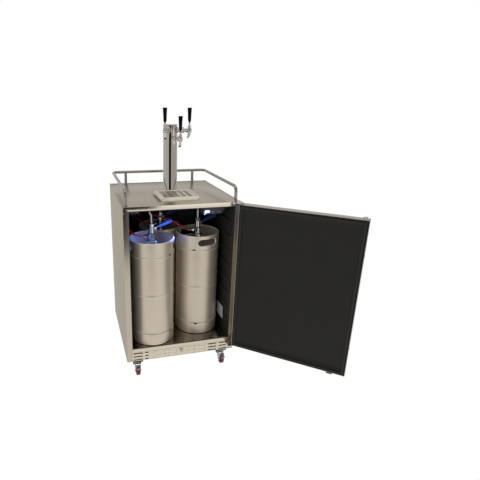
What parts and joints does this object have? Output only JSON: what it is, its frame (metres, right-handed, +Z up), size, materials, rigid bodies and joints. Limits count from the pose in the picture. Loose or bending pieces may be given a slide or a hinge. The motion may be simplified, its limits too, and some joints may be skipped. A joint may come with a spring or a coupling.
{
  "type": "kegerator",
  "caption": "Wheeled cold cabinet with open right-hinged door, kegs inside, a round tap tower, drip tray and guard rail on top.",
  "frame": {"origin": "middle of the whole outline, door open as in the picture, at floor level", "axes": "+Z up, the cabinet's front looks along -Y, +X to the viewer's right"},
  "size_m": [1.0703, 1.045, 1.3888],
  "materials": {
    "steel": "brushed, warm grey stainless",
    "polished": "polished stainless",
    "chrome": "bright chrome",
    "zinc": "zinc plated, dull",
    "dark_steel": "black paint, satin",
    "liner": "black textured plastic",
    "gasket": "black magnetic seal",
    "foam": "foamed in place",
    "housing": "dark grey plastic",
    "grip": "black, glossy",
    "red": "dark red polyurethane",
    "keg": "satin stainless",
    "gas": "red braided-look hose",
    "beer": "clear beer hose",
    "lens": "blue-white diffuser"
  },
  "bodies": {
    "cabinet": {"cabinet_wrapper": "steel", "top_deck": "steel", "inner_liner": "liner", "insulation": "foam", "floor_plate": "polished", "toe_kick": "steel", "base_frame": "dark_steel", "guard_rail": "chrome", "tower_column": "chrome", "tower_cap": "chrome", "hinge_bracket_top": "chrome", "hinge_bracket_bottom": "chrome", "rear_grille": "dark_steel", "compressor": "dark_steel", "power_inlet": "grip", "evaporator_cover": "housing", "lamp_housing": "housing", "lamp_lens": "lens", "gas_manifold": "zinc", "faucet_left": "chrome", "faucet_front": "chrome", "faucet_right": "chrome", "keg_left": "keg", "coupler_left": "chrome", "gas_line_left": "gas", "beer_line_left": "beer", "keg_right": "keg", "coupler_right": "chrome", "gas_line_right": "gas", "beer_line_right": "beer", "keg_rear": "keg", "coupler_rear": "chrome", "gas_line_rear": "gas", "beer_line_rear": "beer"},
    "door": {"door_panel": "steel", "door_liner": "liner", "door_gasket": "gasket", "door_handle": "chrome"},
    "tap_left": {"tap_lever_left": "chrome", "tap_handle_left": "grip"},
    "tap_front": {"tap_lever_front": "chrome", "tap_handle_front": "grip"},
    "tap_right": {"tap_lever_right": "chrome", "tap_handle_right": "grip"},
    "tray": {"drip_tray": "polished"},
    "grille": {"drip_grille": "polished"},
    "coupler_lever_left": {"coupler_handle_left": "grip"},
    "coupler_lever_right": {"coupler_handle_right": "grip"},
    "coupler_lever_rear": {"coupler_handle_rear": "grip"},
    "lock": {"toe_lock": "chrome"},
    "fork_front_left": {"caster_fork_front_left": "zinc"},
    "wheel_front_left": {"caster_wheel_front_left": "red"},
    "pedal_front_left": {"brake_pedal_front_left": "zinc"},
    "fork_front_right": {"caster_fork_front_right": "zinc"},
    "wheel_front_right": {"caster_wheel_front_right": "red"},
    "pedal_front_right": {"brake_pedal_front_right": "zinc"},
    "fork_rear_left": {"caster_fork_rear_left": "zinc"},
    "wheel_rear_left": {"caster_wheel_rear_left": "red"},
    "fork_rear_right": {"caster_fork_rear_right": "zinc"},
    "wheel_rear_right": {"caster_wheel_rear_right": "red"}
  },
  "joints": [
    {"name": "door_hinge", "type": "hinge", "parent": "cabinet", "child": "door", "pos_m": [0.05595, -0.11378, 0.5445], "axis": [0, 0, 1], "range_deg": [-138.2, 22]},
    {"name": "tap_left_pull", "type": "hinge", "parent": "cabinet", "child": "tap_left", "pos_m": [-0.27478, 0.15439, 1.3055], "axis": [0.8829, -0.4695, 0], "range_deg": [0, 28]},
    {"name": "tap_front_pull", "type": "hinge", "parent": "cabinet", "child": "tap_front", "pos_m": [-0.19554, 0.14676, 1.2655], "axis": [0.9563, 0.2924, 0], "range_deg": [0, 28]},
    {"name": "tap_right_pull", "type": "hinge", "parent": "cabinet", "child": "tap_right", "pos_m": [-0.13412, 0.19739, 1.3055], "axis": [0.4695, 0.8829, 0], "range_deg": [0, 28]},
    {"name": "tray_lift", "type": "slide", "parent": "cabinet", "child": "tray", "axis": [0, 0, 1], "range_m": [0, 0.06]},
    {"name": "grille_lift", "type": "slide", "parent": "tray", "child": "grille", "axis": [0, 0, 1], "range_m": [0, 0.03]},
    {"name": "coupler_left_lever", "type": "hinge", "parent": "cabinet", "child": "coupler_lever_left", "pos_m": [-0.35463, 0.04114, 0.7999], "axis": [0.2588, -0.9659, 0], "range_deg": [0, 35]},
    {"name": "coupler_right_lever", "type": "hinge", "parent": "cabinet", "child": "coupler_lever_right", "pos_m": [-0.08762, 0.10198, 0.7999], "axis": [0.2756, -0.9613, 0], "range_deg": [0, 35]},
    {"name": "coupler_rear_lever", "type": "hinge", "parent": "cabinet", "child": "coupler_lever_rear", "pos_m": [-0.2653, 0.26145, 0.7999], "axis": [0.342, -0.9397, 0], "range_deg": [0, 35]},
    {"name": "lock_turn", "type": "hinge", "parent": "cabinet", "child": "lock", "pos_m": [-0.23545, -0.08378, 0.13], "axis": [0, 1, 0], "range_deg": [0, 90]},
    {"name": "caster_front_left_swivel", "type": "hinge", "parent": "cabinet", "child": "fork_front_left", "pos_m": [-0.47495, -0.03978, 0.06], "axis": [0, 0, 1], "continuous": true},
    {"name": "caster_front_left_roll", "type": "hinge", "parent": "fork_front_left", "child": "wheel_front_left", "pos_m": [-0.47495, -0.06378, 0.026], "axis": [1, 0, 0], "continuous": true},
    {"name": "caster_front_left_brake", "type": "hinge", "parent": "fork_front_left", "child": "pedal_front_left", "pos_m": [-0.47495, -0.07178, 0.0545], "axis": [1, 0, 0], "range_deg": [0, 15]},
    {"name": "caster_front_right_swivel", "type": "hinge", "parent": "cabinet", "child": "fork_front_right", "pos_m": [0.00405, -0.03978, 0.06], "axis": [0, 0, 1], "continuous": true},
    {"name": "caster_front_right_roll", "type": "hinge", "parent": "fork_front_right", "child": "wheel_front_right", "pos_m": [0.00405, -0.06378, 0.026], "axis": [1, 0, 0], "continuous": true},
    {"name": "caster_front_right_brake", "type": "hinge", "parent": "fork_front_right", "child": "pedal_front_right", "pos_m": [0.00405, -0.07178, 0.0545], "axis": [1, 0, 0], "range_deg": [0, 15]},
    {"name": "caster_rear_left_swivel", "type": "hinge", "parent": "cabinet", "child": "fork_rear_left", "pos_m": [-0.47495, 0.46618, 0.06], "axis": [0, 0, 1], "continuous": true},
    {"name": "caster_rear_left_roll", "type": "hinge", "parent": "fork_rear_left", "child": "wheel_rear_left", "pos_m": [-0.47495, 0.44218, 0.026], "axis": [1, 0, 0], "continuous": true},
    {"name": "caster_rear_right_swivel", "type": "hinge", "parent": "cabinet", "child": "fork_rear_right", "pos_m": [0.00405, 0.46618, 0.06], "axis": [0, 0, 1], "continuous": true},
    {"name": "caster_rear_right_roll", "type": "hinge", "parent": "fork_rear_right", "child": "wheel_rear_right", "pos_m": [0.00405, 0.44218, 0.026], "axis": [1, 0, 0], "continuous": true}
  ]
}
